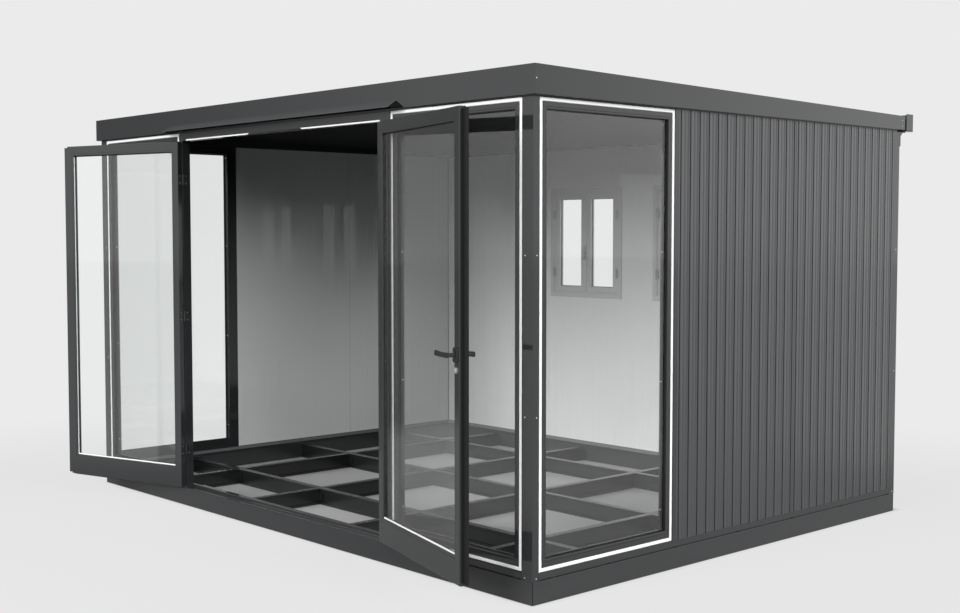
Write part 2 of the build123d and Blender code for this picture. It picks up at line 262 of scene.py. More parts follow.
def rubber(name):
    # matt black, finely grained
    s = sealRubber
    seal = Finish(name)
    grain = seal.noise(s["grain"], 3)
    return seal.finish(seal.surface({
        "Base Color": seal.blend(grain, tone(s["dark"]), tone(s["light"])), "Specular IOR Level": s["shine"],
        "Roughness": s["roughness"] + (grain - 0.5) * s["varies"], "Normal": seal.bump(grain, s["wave"])}))


brushing = {"scale": 500, "stretch": (1, 1, 0.1), "shade": 0.1, "varies": 0.15, "wave": 0.00005}


def bareMetal(name, grey, gloss):
    # plated or plain metal with a fine brushed grain
    b = brushing
    metal = Finish(name)
    brushed = metal.noise(b["scale"], 2, b["stretch"])
    return metal.finish(metal.surface({
        "Base Color": metal.blend(brushed, tone(grey * (1 - b["shade"])), tone(grey * (1 + b["shade"]))),
        "Metallic": 1.0, "Roughness": gloss + (brushed - 0.5) * b["varies"],
        "Normal": metal.bump(brushed, b["wave"])}))


# each finish's material name, how light it is and how rough, from 0 to 1
finishes = {
    "frame": paintedMetal("frame_anthracite", 0.026, 0.07),
    "base": paintedMetal("base_anthracite", 0.027, 0.18),
    "joist": paintedMetal("joist_anthracite", 0.014, 0.22, peel=0.0, dusty=0.0),
    "skirting": paintedMetal("skirting_grey", 0.16, 0.25),
    "panel": paintedMetal("panel_outside", 0.044, 0.18),
    # the drip guard's finish is lighter than the frame's anthracite: a painted highlight on its upward slope
    "guard": paintedMetal("guard_anthracite_painted_highlight", 0.042, 0.20),
    "lining": panelInside("panel_inside"),
    # near black: the ceiling under the roof, and painted shade inside the drip guard and on its two ends
    "ceiling_and_painted_shade": paintedMetal("ceiling_black_and_painted_shade", 0.003, 0.50, shine=0.05),
    "roof": paintedMetal("roof_anthracite", 0.030, 0.35),
    "sash": paintedMetal("sash_grey", 0.50, 0.25, plainGrey),
    "fitting": paintedMetal("window_fitting_grey", 0.32, 0.25, plainGrey),
    "gutter": paintedMetal("gutter_anthracite", 0.026, 0.20),
    "hinge": bareMetal("hinge_dark_metal", 0.10, 0.34),
    "handle": paintedMetal("handle_black", 0.012, 0.30),
    "glass": clearGlass("clear_glass"),
    "strip": lightDiffuser("light_diffuser_and_painted_glow"),
    "rubber": rubber("seal_rubber"),
    "screw": bareMetal("zinc_screw", 0.75, 0.28),
    "steel": bareMetal("lock_steel", 0.92, 0.34),
}
print("finishes made")


class Shape:
    # corners and faces of one piece, gathered part by part in a local frame
    def __init__(self, place=None):
        self.place = place or Matrix()
        self.corners = []
        self.faces = []
        self.kinds = []

    def add(self, corners, faces, kind=0):
        start = len(self.corners)
        self.corners += [self.place @ Vector(corner) for corner in corners]
        self.faces += [[start + index for index in face] for face in faces]
        self.kinds += kind if isinstance(kind, list) else [kind] * len(faces)

    def box(self, first, second):
        # between any two opposite corners
        (a, d), (b, e), (c, f) = [sorted(pair) for pair in zip(first, second)]
        corners = [(a, b, c), (d, b, c), (d, e, c), (a, e, c), (a, b, f), (d, b, f), (d, e, f), (a, e, f)]
        faces = [(0, 3, 2, 1), (4, 5, 6, 7), (0, 1, 5, 4), (1, 2, 6, 5), (2, 3, 7, 6), (3, 0, 4, 7)]
        self.add(corners, faces)

    def prism(self, outline, start, end, along="x", kind=0):
        # an outline extruded along one axis: (y, z) along x, (x, z) along y, (x, y) along z
        def corner(u, v, w):
            return {"x": (w, u, v), "y": (u, w, v), "z": (u, v, w)}[along]
        count = len(outline)
        corners = [corner(u, v, w) for w in sorted((start, end)) for u, v in outline]
        faces = [list(range(count)), list(range(count, 2 * count))[::-1]]
        for i in range(count):
            j = (i + 1) % count
            faces.append((i, j, count + j, count + i))
        self.add(corners, faces, kind)

    def ring(self, outer, inner, profile):
        # a closed profile carried round a rectangle with mitred corners, in X and Z with depth on Y.
        # A profile point is (0 from the outer or 1 from the inner edge, distance inwards, depth)
        corners = []
        for edge, inset, depth in profile:
            x0, z0, x1, z1 = inner if edge else outer
            x0, z0, x1, z1 = x0 + inset, z0 + inset, x1 - inset, z1 - inset
            corners += [(x0, depth, z0), (x1, depth, z0), (x1, depth, z1), (x0, depth, z1)]
        faces = []
        count = len(profile)
        for i in range(count):
            j = (i + 1) % count
            for side in range(4):
                after = (side + 1) % 4
                faces.append((4 * i + side, 4 * i + after, 4 * j + after, 4 * j + side))
        self.add(corners, faces)

    def lathe(self, centre, axis, profile, steps=14, kind=0):
        # round part: profile points are (radius, height along the axis)
        axis = Vector(axis).normalized()
        turn = axis.to_track_quat("Z", "Y").to_matrix()
        corners = []
        for radius, height in profile:
            for step in range(steps):
                angle = 2 * math.pi * step / steps
                spot = Vector((radius * math.cos(angle), radius * math.sin(angle), height))
                corners.append(Vector(centre) + turn @ spot)
        faces = [list(range(steps))[::-1], list(range((len(profile) - 1) * steps, len(profile) * steps))]
        for i in range(len(profile) - 1):
            for step in range(steps):
                after = (step + 1) % steps
                faces.append((i * steps + step, i * steps + after,
                              (i + 1) * steps + after, (i + 1) * steps + step))
        self.add(corners, faces, kind)

    def screw(self, centre, axis, radius, kind=0):
        # domed head with a round socket
        head = [(1, -0.2), (1, 0.15), (0.86, 0.38), (0.6, 0.52), (0.42, 0.52), (0.36, 0.25)]
        self.lathe(centre, axis, [(radius * out, radius * up) for out, up in head], 14, kind)

    def make(self, name, body, slot, kinds, bevel=0.0, stands=()):
        # the finished piece on its body, in place of the construction pieces that it stands for
        mesh = bpy.data.meshes.new(name)
        mesh.from_pydata([tuple(corner) for corner in self.corners], [], self.faces)
        mesh.polygons.foreach_set("material_index", self.kinds)
        work = bmesh.new()
        work.from_mesh(mesh)
        bmesh.ops.recalc_face_normals(work, faces=work.faces)
        work.to_mesh(mesh)
        work.free()
        for kind in kinds:
            mesh.materials.append(finishes[kind])
        piece = bpy.data.objects.new(name, mesh)
        bpy.context.scene.collection.objects.link(piece)
        mesh.shade_smooth()
        mesh.set_sharp_from_angle(angle=math.radians(softening["ownAngle"]))
        if bevel:
            edges = softenEdges(piece, bevel, softening["ownAngle"])
            edges.harden_normals = True
        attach(piece, body)
        if stands:
            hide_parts(*stands)


# edges sharper than these angles, in degrees, are rounded: on own pieces and on construction pieces
softening = {"ownAngle": 22, "nodeAngle": 35, "weld": 0.00002}


def softenEdges(piece, width, angle):
    edges = piece.modifiers.new("soft_edges", "BEVEL")
    edges.width = width
    edges.segments = 2
    edges.limit_method = "ANGLE"
    edges.angle_limit = math.radians(angle)
    return edges


# pieces that keep their construction shape
nodeFinishes = {
    "frame": ["front_right_post", "front_left_post", "rear_right_post", "rear_left_post",
              "side_mullions", "door_jambs", "door_header", "front_top_rail", "rear_top_rail",
              "side_top_rails", "front_fascia"],
    "gutter": ["gutter", "gutter_brackets"],
    "hinge": ["jamb_hinges", "left_door_hinges", "right_door_hinges"],
    "glass": ["tall_window_glass", "left_door_glass", "right_door_glass"],
}
edgeSoftness = {"frame": 0.0015, "gutter": 0.0008, "hinge": 0.0004}


def finishNode(name, finish):
    piece = nodes[name]
    piece.data.materials.clear()
    piece.data.materials.append(finishes[finish])
    if finish in edgeSoftness:
        weld = piece.modifiers.new("joined_edges", "WELD")
        weld.merge_threshold = softening["weld"]
        softenEdges(piece, edgeSoftness[finish], softening["nodeAngle"])


for finishName, names in nodeFinishes.items():
    for nodeName in names:
        finishNode(nodeName, finishName)
print("construction pieces finished")


# planes and sizes read from the construction
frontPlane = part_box("front_right_post")[0].y
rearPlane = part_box("rear_right_post")[1].y
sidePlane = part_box("right_panel_1")[1].x
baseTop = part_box("base_front_rail")[1].z
windowLow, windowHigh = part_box("front_right_window_frame")
wallBottom = windowLow.z
windowWidth, windowHeight = windowHigh.x - windowLow.x, windowHigh.z - windowLow.z
jambInner, jambOuter = -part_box("door_header")[0].x, windowLow.x
sides = {-1: "left", 1: "right"}


def turned(spot, degrees):
    return Matrix.Translation(spot) @ Matrix.Rotation(math.radians(degrees), 4, "Z")


def middles(node, axis):
    # the middle, along one axis, of each part of a construction piece
    edges = sorted({round(vertex.co[axis], 5) for vertex in nodes[node].data.vertices})
    return [(near + far) / 2 for near, far in zip(edges[::2], edges[1::2])]


# each tall window's own frame: X across, Y inwards, Z up from its outer bottom corner
windowPlaces = {
    "front_right": turned((jambOuter, frontPlane, wallBottom), 0),
    "front_left": turned((-jambOuter - windowWidth, frontPlane, wallBottom), 0),
    "right": turned((sidePlane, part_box("right_window_frame")[0].y, wallBottom), 90),
    "left": turned((-sidePlane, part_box("left_window_frame")[1].y, wallBottom), -90),
}


panelRibs = {
    "grooves": 14, "edge": 0.0185,                 # main grooves and the first one's distance in
    "lines": 2, "edgeRound": 0.0015,               # fine lines between two grooves
    "outer": {"width": 0.0070, "depth": 0.0060, "floor": 0.0040, "lineWidth": 0.004, "lineDepth": 0.0005},
    "inner": {"width": 0.0034, "depth": 0.0012, "floor": 0.0008, "lineWidth": 0.0024, "lineDepth": 0.0007},
}


def ribDepths(width, size):
    # the panel face's depth at the places across it where its slope changes
    count, lines, edge = panelRibs["grooves"], panelRibs["lines"], panelRibs["edgeRound"]
    pitch = (width - 2 * panelRibs["edge"]) / (count - 1)
    half, floor, depth, halfLine = size["width"] / 2, size["floor"] / 2, size["depth"], size["lineWidth"] / 2
    points = [(0.0, edge), (edge, 0.0)]
    for index in range(count):
        middle = panelRibs["edge"] + index * pitch
        points += [(middle - half, 0), (middle - floor, depth), (middle + floor, depth), (middle + half, 0)]
        if index < count - 1:
            for line in range(lines):
                spot = middle + pitch * (line + 1) / (lines + 1)
                points += [(spot - halfLine, 0), (spot, size["lineDepth"]), (spot + halfLine, 0)]
    return points + [(width - edge, 0.0), (width, edge)]


def depthAt(points, place):
    # the face's depth between those places
    for (start, low), (end, high) in zip(points, points[1:]):
        if start <= place <= end:
            return low + (high - low) * (place - start) / (end - start)
    return 0.0


def ribbedPanel(node, facing, hole=None):
    # two ribbed skins, closed round the edges and round a window's hole (left, bottom, right, top)
    low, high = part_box(node)
    height = high.z - low.z
    width, thickness = high.x - low.x, high.y - low.y
    if facing != "rear":
        width, thickness = thickness, width
    outer = ribDepths(width, panelRibs["outer"])
    inner = ribDepths(width, panelRibs["inner"])
    across = {round(x, 6) for x, depth in outer + inner}
    levels = [0.0, height]
    if hole:
        across |= {round(hole[0], 6), round(hole[2], 6)}
        levels = [0.0, hole[1], hole[3], height]
    across = sorted(across)
    skins = [[depthAt(outer, x) for x in across], [thickness - depthAt(inner, x) for x in across]]

    def present(column, row):
        if not (0 <= column < len(across) - 1 and 0 <= row < len(levels) - 1):
            return False
        middle = (across[column] + across[column + 1]) / 2
        return not (hole and row == 1 and hole[0] < middle < hole[2])

    corners, faces, kinds, index = [], [], [], {}

    def corner(column, row, skin):
        key = (column, row, skin)
        if key not in index:
            index[key] = len(corners)
            corners.append((across[column], skins[skin][column], levels[row]))
        return index[key]

    for column in range(len(across) - 1):
        for row in range(len(levels) - 1):
            if not present(column, row):
                continue
            square = [(column, row), (column + 1, row), (column + 1, row + 1), (column, row + 1)]
            faces.append([corner(*spot, 0) for spot in square])
            faces.append([corner(*spot, 1) for spot in square[::-1]])
            kinds += [0, 1]
            beside = [(column, row - 1), (column + 1, row), (column, row + 1), (column - 1, row)]
            for side, neighbour in enumerate(beside):
                if not present(*neighbour):
                    first, second = square[side], square[(side + 1) % 4]
                    faces.append([corner(*second, 0), corner(*first, 0),
                                  corner(*first, 1), corner(*second, 1)])
                    kinds.append(0)
    panel = Shape(panelPlace(low, high, facing))
    panel.add(corners, faces, kinds)
    panel.make(f"ribbed_{node}", "pod", "wall_panel", ["panel", "lining"], stands=[node])


def panelPlace(low, high, facing):
    # the panel's own frame: X across its ribs, Y from its outer face inwards, Z up
    spin = {"right": 90, "left": -90, "rear": 180}[facing]
    start = {"right": (high.x, low.y, low.z), "left": (low.x, high.y, low.z),
             "rear": (high.x, high.y, low.z)}[facing]
    return turned(start, spin)


def makePanels():
    for facing in ("right", "left"):
        for number in (1, 2):
            ribbedPanel(f"{facing}_panel_{number}", facing)
    frames = windowBoxes()
    for number in (1, 2, 3, 4):
        node = f"rear_panel_{number}"
        low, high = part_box(node)
        hole = None
        for left, bottom, right, top in frames:
            if low.x < (left + right) / 2 < high.x:
                hole = (high.x - right, bottom - low.z, high.x - left, top - low.z)
        ribbedPanel(node, "rear", hole)


def windowBoxes():
    # the rear windows' outer edges, read from their frames' corners
    spots = [vertex.co for vertex in nodes["rear_window_frames"].data.vertices]
    boxes = []
    for hand in (-1, 1):
        own = [spot for spot in spots if spot.x * hand > 0]
        boxes.append((min(s.x for s in own), min(s.z for s in own),
                      max(s.x for s in own), max(s.z for s in own)))
    return boxes


makePanels()
print("wall panels made")


tallWindow = {
    "sideEdge": 0.047, "bottomEdge": 0.056, "topEdge": 0.052,      # outer edge to glass opening
    "stripSpace": 0.020, "stripFloor": 0.012, "depth": 0.050,
    "beadWidth": 0.010, "beadDepth": 0.0006, "jointWidth": 0.0011, "jointDepth": 0.0035, "round": 0.0008,
    "paneFront": 0.014, "paneBack": 0.020, "sealOverGlass": 0.004, "sealGap": 0.0002,
    "screwHeights": (0.154, 0.770, 1.386, 1.985), "screwDepth": 0.036, "screwRadius": 0.0040,
    # the last value is the height of a black band of painted shade along the front windows' foot
    "sillShadeBand": 0.0042,
}


def windowRects():
    w = tallWindow
    outer = (0, 0, windowWidth, windowHeight)
    inner = (w["sideEdge"], w["bottomEdge"], windowWidth - w["sideEdge"], windowHeight - w["topEdge"])
    return outer, inner


def makeTallWindows():
    w = tallWindow
    outer, inner = windowRects()
    strip, floor, deep, soft = w["stripSpace"], w["stripFloor"], w["depth"], w["round"]
    bead, sunk, joint, groove = w["beadWidth"], w["beadDepth"], w["jointDepth"], w["jointWidth"]
    over = w["sealOverGlass"]
    near, far = w["paneFront"] - w["sealGap"], w["paneBack"] + w["sealGap"]
    frameProfile = [
        (0, 0, deep), (0, 0, joint), (0, groove, joint), (0, groove, floor), (0, strip, floor),
        (0, strip, soft), (0, strip + soft, 0), (1, -bead - 2 * soft, 0), (1, -bead - soft, 2 * soft),
        (1, -bead, sunk), (1, -0.003, sunk), (1, -0.0005, 0.003), (1, 0, 0.006), (1, 0, deep - 0.004),
        (1, -0.004, deep)]
    sealProfiles = [
        [(1, -0.001, 0.0045), (1, 0.0012, 0.005), (1, over, 0.0112), (1, over, near), (1, -0.001, near)],
        [(1, -0.001, far), (1, over, far), (1, over, far + 0.0028), (1, -0.001, far + 0.0048)],
        [(0, 0.00005, 0.0012), (0, 0.0015, 0.0012), (0, 0.0015, 0.0040), (0, 0.00005, 0.0040)]]
    seals = Shape()
    screws = Shape()
    for name, place in windowPlaces.items():
        unit = Shape(place)
        unit.ring(outer, inner, frameProfile)
        unit.make(f"{name}_window_profile", "pod", "frame", ["frame"],
                  stands=[f"{name}_window_frame"] if f"{name}_window_frame" in nodes else [])
        seals.place = screws.place = place
        for profile in sealProfiles:
            seals.ring(outer, inner, profile)
        # painted shade: on the front windows only, a black band over the frame's lower lip and the strip's
        # bottom edge stands in for the shadow line above the track
        if name.startswith("front"):
            seals.box((0.002, 0.0001, 0.0002), (windowWidth - 0.002, 0.004, w["sillShadeBand"]))
        for height in w["screwHeights"]:
            for x, aim in ((inner[0], 1), (inner[2], -1)):
                screws.screw((x, w["screwDepth"], height), (aim, 0, 0), w["screwRadius"])
    seals.make("tall_window_seals", "pod", "frame", ["rubber"])
    screws.make("window_frame_screws", "pod", "steel", ["screw"])


lightStrip = {"edgeGap": 0.0016, "front": 0.0005, "round": 0.004,
              "headerHeight": 0.008, "headerDepth": 0.006, "headerMitre": 0.012,
              "headerStart": 0.2455, "headerSetback": 0.0405}      # across, from the middle and the jamb


def makeLightStrips():
    outer, inner = windowRects()
    gap, near, soft = lightStrip["edgeGap"], lightStrip["front"], lightStrip["round"]
    far, floor = tallWindow["stripSpace"] - 0.0008, tallWindow["stripFloor"] - 0.0002
    slight = soft * 0.3
    profile = [(0, gap, floor), (0, gap, near + soft), (0, gap + slight, near + slight),
               (0, gap + soft, near), (0, far - soft, near), (0, far - slight, near + slight),
               (0, far, near + soft), (0, far, floor)]
    strips = Shape()
    for place in windowPlaces.values():
        strips.place = place
        strips.ring(outer, inner, profile)
    strips.place = Matrix()
    low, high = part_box("door_header")
    bottom, top = low.z + 0.0003, low.z + lightStrip["headerHeight"] - 0.0005
    depth, mitre, middle = lightStrip["headerDepth"], lightStrip["headerMitre"], lightStrip["headerStart"]
    for hand in (-1, 1):
        start, end = hand * middle, hand * (jambInner - lightStrip["headerSetback"])
        outline = [(start, top), (start + hand * mitre, bottom), (end, bottom), (end, top)]
        strips.prism(outline, frontPlane + 0.0004, frontPlane + depth - 0.0003, "y")
    strips.make("light_strip_lengths", "pod", "light_strip", ["strip"], stands=["light_strips"])
    seal = Shape()
    seal.box((-middle, frontPlane - 0.0003, bottom + 0.0015), (middle, frontPlane + 0.0006, top - 0.0015))
    seal.make("header_seal", "pod", "frame", ["rubber"])


baseRail = {"frontDepth": 0.120, "depth": 0.060, "cornerGap": 0.0016, "edge": 0.0022,
            "shadeBlockInset": 0.005, "shadeBlockReach": 0.035}      # painted shade: near-black blocks behind the corner gaps


def makeBaseRails():
    s, f, r = sidePlane, frontPlane, rearPlane
    deep, thin, gap = baseRail["frontDepth"], baseRail["depth"], baseRail["cornerGap"]
    plans = {
        "front": [(-s + gap, f), (s - gap, f), (s - thin - gap, f + deep), (-s + thin + gap, f + deep)],
        "rear": [(-s + gap, r), (s - gap, r), (s - thin - gap, r - thin), (-s + thin + gap, r - thin)],
        "right": [(s, f + gap), (s, r - gap), (s - thin, r - thin - gap), (s - thin, f + deep + gap)]}
    plans["left"] = [(-x, y) for x, y in plans["right"]]
    for name, plan in plans.items():
        rail = Shape()
        rail.prism(plan, 0, baseTop - 0.0002, "z")
        rail.make(f"base_rail_{name}", "pod", "base_steel", ["base"], baseRail["edge"],
                  stands=[f"base_{name}_rail"])
    # painted shade: near-black blocks set behind the base rails' corner gaps, so that the gaps read dark
    gapShade = Shape()
    inset, reach = baseRail["shadeBlockInset"], baseRail["shadeBlockReach"]
    for hand in (-1, 1):
        for end, into in ((f, 1), (r, -1)):
            gapShade.box((hand * (s - reach), end + into * reach, 0.001),
                     (hand * (s - inset), end + into * inset, baseTop - 0.004))
    gapShade.make("corner_gap_painted_shade", "pod", "base_steel", ["rubber"])


joist = {"width": 0.045, "height": 0.095, "lip": 0.013, "recess": 0.0055, "round": 0.002,
         "cleatThickness": 0.003, "cleatLeg": 0.036, "cleatLow": 0.024, "cleatHigh": 0.071,
         "endLap": 0.0045, "boltInset": 0.012, "boltRadius": 0.0042,
         "topScrewSpacing": 0.045, "topScrewRadius": 0.0028}


def joistSection():
    w, h, r, lip = joist["width"] / 2, joist["height"], joist["round"], joist["lip"]
    web = w - joist["recess"]
    right = [(w - r, 0), (w, r), (w, lip), (web, lip + 0.004), (web, h - lip - 0.004), (w, h - lip),
             (w, h - r), (w - r, h)]
    return right + [(-u, z) for u, z in right[::-1]]


def makeJoists():
    s, f, r = sidePlane, frontPlane, rearPlane
    j = joist
    half = j["width"] / 2
    rows, columns = middles("crosswise_joists", 1), middles("lengthwise_joists", 0)
    section = joistSection()
    cross = Shape()
    for y in rows:
        cross.place = Matrix.Translation((0, y, 0))
        cross.prism(section, -s + baseRail["depth"] - 0.002, s - baseRail["depth"] + 0.002, "x")
    cross.make("crosswise_channels", "pod", "base_steel", ["joist"], stands=["crosswise_joists"])
    length, cleats, bolts = Shape(), Shape(), Shape()
    starts = [f + baseRail["frontDepth"]] + [y + half for y in rows]
    ends = [y - half for y in rows] + [r - baseRail["depth"]]
    web, thick, leg = half - j["recess"], j["cleatThickness"], j["cleatLeg"]
    low, high = j["cleatLow"], j["cleatHigh"]
    for x in columns:
        for start, end in zip(starts, ends):
            length.place = Matrix.Translation((x, 0, 0))
            length.prism(section, start - j["endLap"], end + j["endLap"], "y")
            for spot, into in ((start, 1), (end, -1)):
                for hand in (-1, 1):
                    mirror = Matrix.Diagonal((hand, into, 1, 1))
                    cleats.place = bolts.place = Matrix.Translation((x, spot, 0)) @ mirror
                    cleats.box((web, 0, low), (web + thick, leg, high))
                    cleats.box((web, 0, low), (web + leg, thick, high))
                    for z in (low + j["boltInset"], high - j["boltInset"]):
                        bolts.screw((web + thick, leg * 0.6, z), (1, 0, 0), j["boltRadius"], 1)
                        bolts.screw((web + leg * 0.6, thick, z), (0, 1, 0), j["boltRadius"], 1)
                bolts.place = Matrix()
                for step in (1, 2, 3):
                    away = spot + into * j["topScrewSpacing"] * step
                    bolts.screw((x, away, j["height"]), (0, 0, 1), j["topScrewRadius"])
    length.make("lengthwise_channels", "pod", "base_steel", ["joist"], stands=["lengthwise_joists"])
    cleats.make("joist_cleats", "pod", "base_steel", ["joist"], 0.0006)
    bolts.make("joist_bolts", "pod", "steel", ["screw", "joist"])


track = {"footHeight": 0.0050, "footSetback": 0.010, "depth": 0.058, "topLip": 0.0012,
         "skirting": 0.0006, "skirtingLow": 0.022, "skirtingHigh": 0.0025,      # down from the wall's foot
         "weepWidth": 0.034, "weepHeight": 0.0068, "weepSlope": 0.003, "weepDepth": 0.004,
         "sideWeeps": (-1.380, -0.993, -0.521, -0.020, 0.450, 0.920), "frontWeeps": (1.853, 1.420)}


def trackSection():
    # from the outer face inwards: a set-back foot, a plain face and a small upper lip
    foot, back, deep = track["footHeight"], track["footSetback"], track["depth"]
    low, high = baseTop, wallBottom
    return [(back, low), (back, low + foot), (0.0006, low + foot), (0, low + foot + 0.0008),
            (0, high - 0.001), (track["topLip"], high), (deep - 0.002, high), (deep, high - 0.002),
            (deep, low)]


def makeTracks():
    section = trackSection()
    front, side, rear = Shape(), Shape(), Shape()
    low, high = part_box("side_tracks")
    for hand in (-1, 1):
        front.prism([(frontPlane + u, z) for u, z in section],
                    hand * jambOuter, hand * (jambOuter + windowWidth), "x")
        side.prism([(hand * (sidePlane - u), z) for u, z in section], low.y, high.y, "y")
    front.make("front_track_profile", "pod", "frame", ["frame"], stands=["front_tracks"])
    side.make("side_track_profile", "pod", "frame", ["frame"], stands=["side_tracks"])
    start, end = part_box("rear_track")
    rear.prism([(rearPlane - u, z) for u, z in section], start.x, end.x, "x")
    rear.make("rear_track_profile", "pod", "frame", ["frame"], stands=["rear_track"])

    # plain skirting on the tracks' inner faces, below the lining
    skirting = Shape()
    deep, thin = track["depth"], track["skirting"]
    bottom, top = wallBottom - track["skirtingLow"], wallBottom - track["skirtingHigh"]
    back = rearPlane - deep - thin
    for hand in (-1, 1):
        edge = hand * (sidePlane - deep)
        skirting.box((edge, low.y + 0.002, bottom), (edge - hand * thin, back, top))
    skirting.box((-sidePlane + deep, back, bottom), (sidePlane - deep, back + thin, top))
    skirting.make("track_skirtings", "pod", "frame", ["skirting"])

    weeps = Shape()
    for hand in (-1, 1):
        for y in track["sideWeeps"]:
            weeps.place = turned((hand * sidePlane, y, baseTop), 90 * hand)
            weepCap(weeps)
        for x in track["frontWeeps"]:
            weeps.place = turned((hand * x, frontPlane, baseTop), 0)
            weepCap(weeps)
    weeps.make("weep_caps", "pod", "frame", ["rubber"], 0.0005)


def weepCap(shape):
    # a small hood that drains the track, narrower at its top
    w, h = track["weepWidth"] / 2, track["weepHeight"]
    top = w - track["weepSlope"]
    shape.prism([(-w, 0.0008), (w, 0.0008), (top, h), (-top, h)], 0.0002, track["weepDepth"], "y")


threshold = {"plate": 0.005, "stopStart": 0.045, "stopWidth": 0.006, "stopHeight": 0.020,
             "grooves": (0.010, 0.016, 0.022, 0.028), "grooveHalf": 0.0018,
             "innerGroove": (0.078, 0.086), "depth": 0.120, "step": 0.002}


def makeThreshold():
    plate = baseTop + threshold["plate"]
    top = baseTop + threshold["stopHeight"]
    start, wide, half = threshold["stopStart"], threshold["stopWidth"], threshold["grooveHalf"]
    (near, far), end, step = threshold["innerGroove"], threshold["depth"], threshold["step"]
    outline = [(0, baseTop), (0, plate - 0.0016), (0.0016, plate)]
    for groove in threshold["grooves"]:
        outline += [(groove - half, plate), (groove - half / 2, plate - half),
                    (groove + half / 2, plate - half), (groove + half, plate)]
    outline += [(start - 0.0035, plate), (start, plate + 0.003), (start, top - 0.0025),
                (start + 0.001, top - 0.0007), (start + 0.003, top), (start + wide - 0.001, top - 0.0007),
                (start + wide, top - 0.0025), (start + wide, plate + 0.004), (start + wide + 0.006, plate),
                (near, plate), (near + step, plate - step), (far - step, plate - step), (far, plate),
                (end - step, plate), (end, plate - step), (end, baseTop)]
    sill = Shape()
    sill.prism([(frontPlane + u, z) for u, z in outline], -jambInner, jambInner, "x")
    sill.make("threshold_sill", "pod", "frame", ["frame"], stands=["threshold"])


postScrews = {
    "heights": (0.1165, 0.819, 1.518), "acrossFront": 0.0485, "acrossSide": 0.023, "radius": 0.0034,
    "headRise": 0.53, "small": 0.8,                                # parts of the radius
    "boardFront": 0.010, "boardDrop": 0.062,                       # in the side boards' front ends
    "boardRear": 0.030, "rearDrop": 0.075, "rearRise": 0.022,      # and their rear ends
}


def makeSideFascias():
    # side boards set in by the height of their screw heads, sloping down behind with the roof
    inset = postScrews["radius"] * postScrews["headRise"]
    for hand, side in sides.items():
        low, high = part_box(f"{side}_fascia")
        spots = [v.co for v in nodes[f"{side}_fascia"].data.vertices]
        tail = max(spot.z for spot in spots if abs(spot.y - high.y) < 0.001)
        near, far = sidePlane, high.x - inset if hand > 0 else -low.x - inset
        board = Shape()
        plan = [(far, low.y + 0.0004), (far, high.y), (near, high.y), (near, frontPlane)]
        tops = [high.z, tail, tail, high.z]
        corners = [(hand * x, y, low.z) for x, y in plan]
        corners += [(hand * x, y, top) for (x, y), top in zip(plan, tops)]
        corners.append((hand * far, frontPlane, high.z))
        board.add(corners, [(0, 1, 2, 3), (0, 1, 5, 8, 4), (1, 2, 6, 5), (2, 3, 7, 6), (3, 0, 4, 7),
                            (4, 8, 7), (8, 5, 6, 7)])
        board.make(f"{side}_fascia_board", "pod", "frame", ["frame"], edgeSoftness["frame"],
                   stands=[f"{side}_fascia"])


def makeFrameScrews():
    s = postScrews
    across, deep, radius = sidePlane - s["acrossFront"], s["acrossSide"], s["radius"]
    low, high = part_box("right_fascia")
    eaves, tail = high.x - radius * s["headRise"], high.y - s["boardRear"]
    screws = Shape()
    for hand in (-1, 1):
        for height in s["heights"]:
            screws.screw((hand * across, frontPlane, height), (0, -1, 0), radius)
            screws.screw((hand * sidePlane, frontPlane + deep, height), (hand, 0, 0), radius)
            screws.screw((hand * across, rearPlane, height), (0, 1, 0), radius)
            screws.screw((hand * sidePlane, rearPlane - deep, height), (hand, 0, 0), radius)
        front = (hand * eaves, low.y + s["boardFront"], high.z - s["boardDrop"])
        screws.screw(front, (hand, 0, 0), radius)
        for height in (high.z - s["rearDrop"], low.z + s["rearRise"]):
            screws.screw((hand * eaves, tail, height), (hand, 0, 0), radius * s["small"])
    screws.make("frame_screws", "pod", "steel", ["screw"])


dripGuard = {"footHalf": 1.117, "ridgeHalf": 1.060, "lipHalf": 1.055, "reach": 0.050, "rise": 0.034,
             "lift": 0.004, "sheet": 0.0022}


def makeDripGuard():
    g = dripGuard
    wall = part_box("front_fascia")[0].y
    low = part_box("front_fascia")[0].z + g["lift"]
    thick = g["sheet"]

    def corners(shrink):
        # the inner skin's corners lie further in than the sheet is thick, because its sides slope
        back = wall - 0.4 * shrink
        foot, ridge, lip = g["footHalf"] - 2.2 * shrink, g["ridgeHalf"] - 1.5 * shrink, g["lipHalf"] - shrink
        out, top = wall - g["reach"] + 1.6 * shrink, low + g["rise"] - 1.4 * shrink
        return [(-foot, back, low), (foot, back, low), (lip, out, low), (-lip, out, low),
                (-ridge, back, top), (ridge, back, top)]

    shell = [(3, 2, 5, 4), (1, 2, 5), (0, 3, 4), (0, 1, 5, 4)]
    rim = [(i, (i + 1) % 4, 6 + (i + 1) % 4, 6 + i) for i in range(4)]
    hollow = [tuple(6 + i for i in face) for face in shell]
    guard = Shape()
    # the lighter guard finish, a painted highlight, goes on the sloped face, the back and the rim; the
    # near-black finish, painted shade, goes on both ends and inside
    guard.add(corners(0) + corners(thick), shell + rim + hollow, [0, 1, 1, 0] + [0] * 4 + [1] * 4)
    guard.make("drip_guard_sheet", "pod", "frame", ["guard", "ceiling_and_painted_shade"], stands=["drip_guard"])


roof = {"pitch": 0.245, "ribTop": 0.030, "ribFoot": 0.062, "ribHeight": 0.018,
        "groove": 0.0714, "grooveTop": 0.002, "grooveFoot": 0.008, "grooveHeight": 0.002, "margin": 0.05}


def ridges(start, end, count, foot, top, base, rise):
    # evenly spaced ridges across a sheet: (place, height) where its slope changes
    points = []
    for index in range(count):
        middle = start + (index + 0.5) * (end - start) / count
        points += [(middle - foot / 2, base), (middle - top / 2, rise),
                   (middle + top / 2, rise), (middle + foot / 2, base)]
    return points


